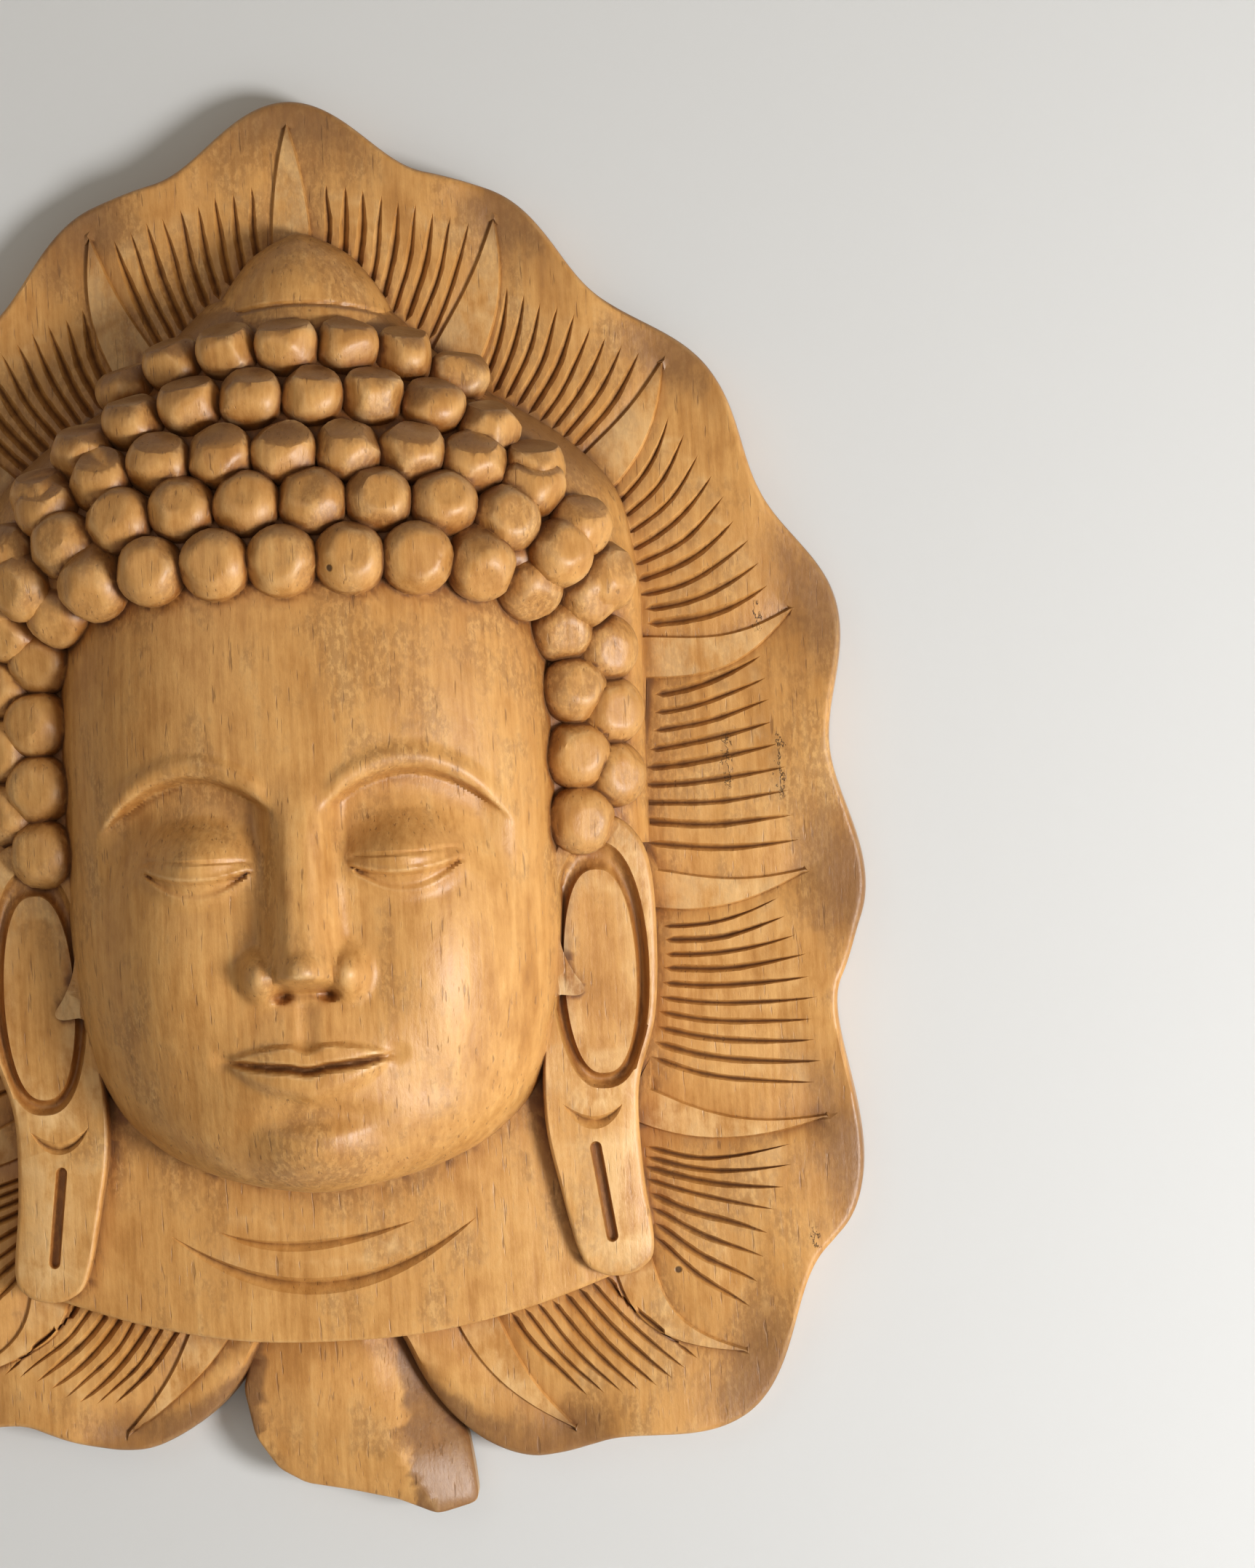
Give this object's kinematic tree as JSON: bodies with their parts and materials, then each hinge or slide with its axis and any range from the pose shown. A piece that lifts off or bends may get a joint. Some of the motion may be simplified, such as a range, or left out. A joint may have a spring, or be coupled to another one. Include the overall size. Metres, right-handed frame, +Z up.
{
  "type": "carved buddha head wall plaque",
  "caption": "Upright wall plaque carved from one piece of wood: a calm head with curled hair and long ears in high relief on a scalloped lotus leaf with its cut stem, flat at the back.",
  "frame": {"origin": "on the flat back, at the point that the leaf's flutes fan from", "axes": "+Z up, the face looks towards -Y, and the flat back is the plane y = 0"},
  "size_m": [0.381, 0.0981, 0.4968],
  "materials": {
    "wood": "waxed honey-brown wood with dark stain in the cuts"
  },
  "bodies": {
    "root": {"buddha_mask": "wood"}
  },
  "joints": []
}
